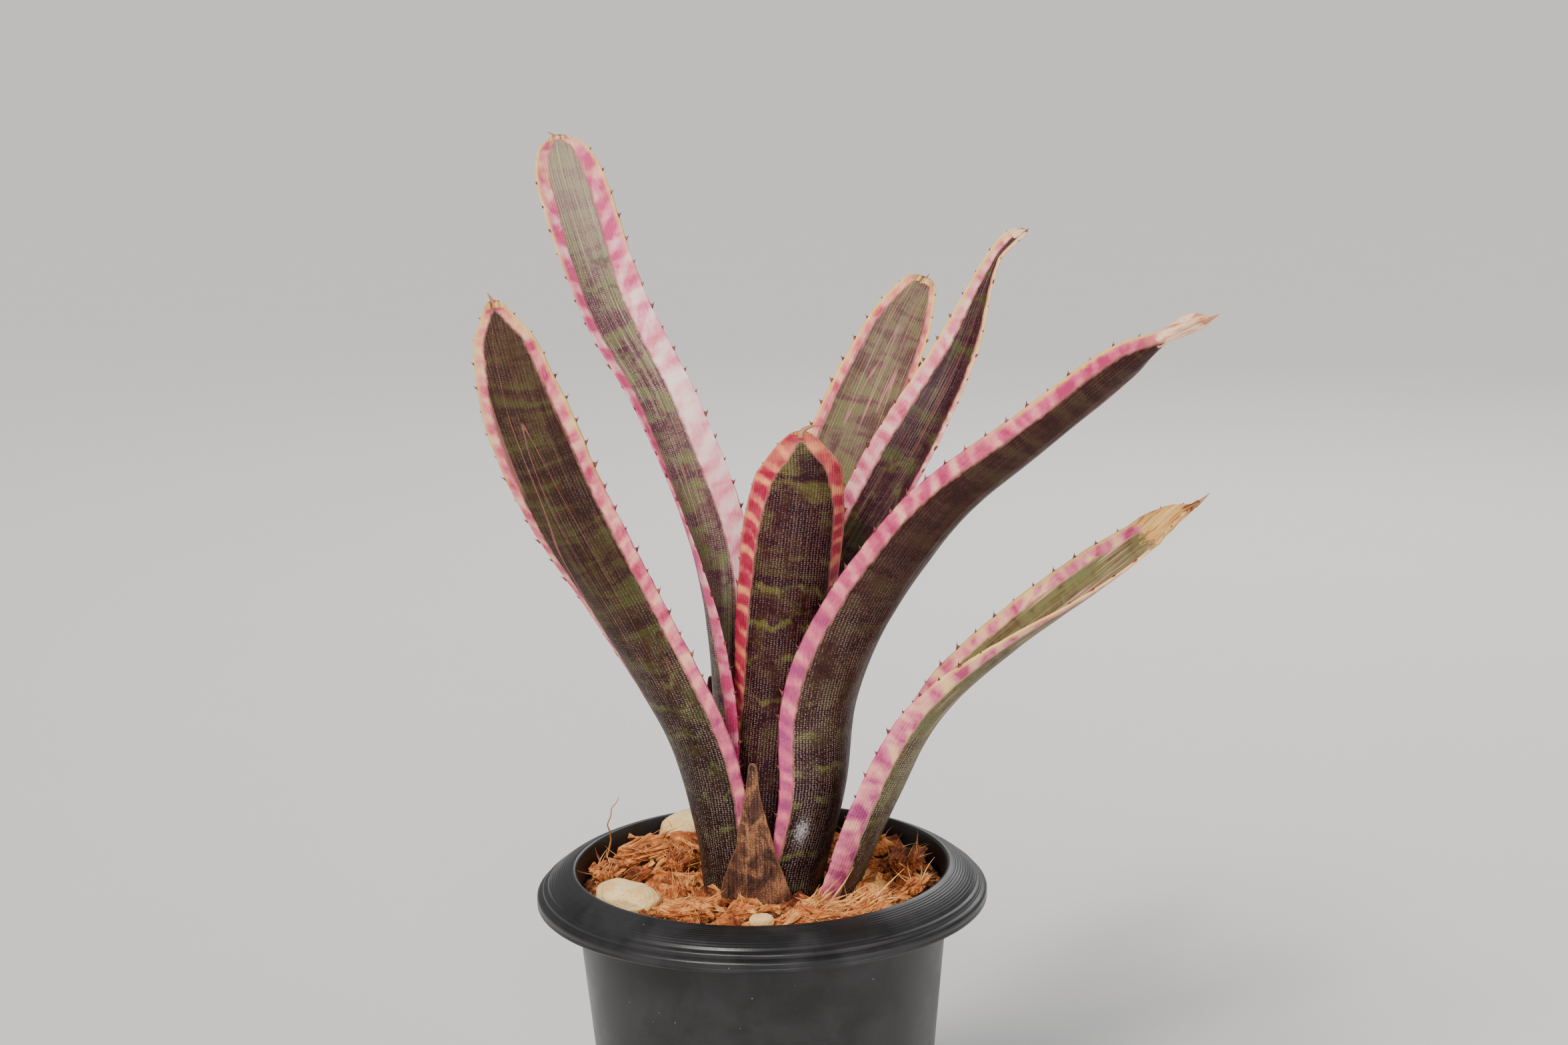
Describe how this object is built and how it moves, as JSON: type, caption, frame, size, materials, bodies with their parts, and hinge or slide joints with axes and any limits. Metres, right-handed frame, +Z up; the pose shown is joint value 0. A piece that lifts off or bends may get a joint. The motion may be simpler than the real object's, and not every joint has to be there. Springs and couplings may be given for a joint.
{
  "type": "potted bromeliad",
  "caption": "Young variegated bromeliad with upright strap leaves banded in pink and dark green, growing in coconut husk in a round black nursery pot with a ribbed rim.",
  "frame": {"origin": "centre of the pot's flat underside, where it stands", "axes": "+Z up along the pot's axis, -Y towards the side the plant is seen from, +X towards the long arching leaf"},
  "size_m": [0.1504, 0.1012, 0.2441],
  "materials": {
    "pot_plastic": "black injection-moulded plastic, satin, with fine turned scratches and dust on the rim",
    "coir": "matted orange-brown coconut fibre and dust, dry and rough",
    "husk_chip": "torn orange-brown coconut husk with fibres along it, rough",
    "stem_green": "pale green short stem, hidden by the leaf bases",
    "dry_leaf": "dead brown papery leaf, wrinkled along its length, matt",
    "leaf_dark": "dark brown-green leathery leaf with fine rows of white scales, green cross bands and banded pink margins, satin",
    "leaf_pink": "grey-green leathery leaf with wide pale pink margins and cross bands, satin",
    "leaf_green": "olive leathery leaf with pinkish streaks, green bands and pink and yellow margins, satin",
    "pebble": "cream river pebble, matt, with faint rusty specks"
  },
  "bodies": {
    "root": {"dry_bract_front": "dry_leaf", "dry_bract_rear": "dry_leaf", "growing_medium": "coir", "husk_chip_01": "husk_chip", "husk_chip_02": "husk_chip", "husk_chip_03": "husk_chip", "husk_chip_04": "husk_chip", "husk_chip_05": "husk_chip", "husk_chip_06": "husk_chip", "husk_chip_07": "husk_chip", "husk_chip_08": "husk_chip", "husk_chip_09": "husk_chip", "husk_chip_10": "husk_chip", "husk_chip_11": "husk_chip", "husk_chip_12": "husk_chip", "husk_chip_13": "husk_chip", "husk_chip_14": "husk_chip", "leaf_back_narrow": "leaf_dark", "leaf_back_right": "leaf_pink", "leaf_centre": "leaf_dark", "leaf_front_left": "leaf_green", "leaf_long_right": "leaf_dark", "leaf_low_right": "leaf_green", "leaf_tall_left": "leaf_pink", "pebble_back_left": "pebble", "pebble_front_left": "pebble", "pebble_front_small": "pebble", "pot": "pot_plastic", "stem": "stem_green"}
  },
  "joints": []
}
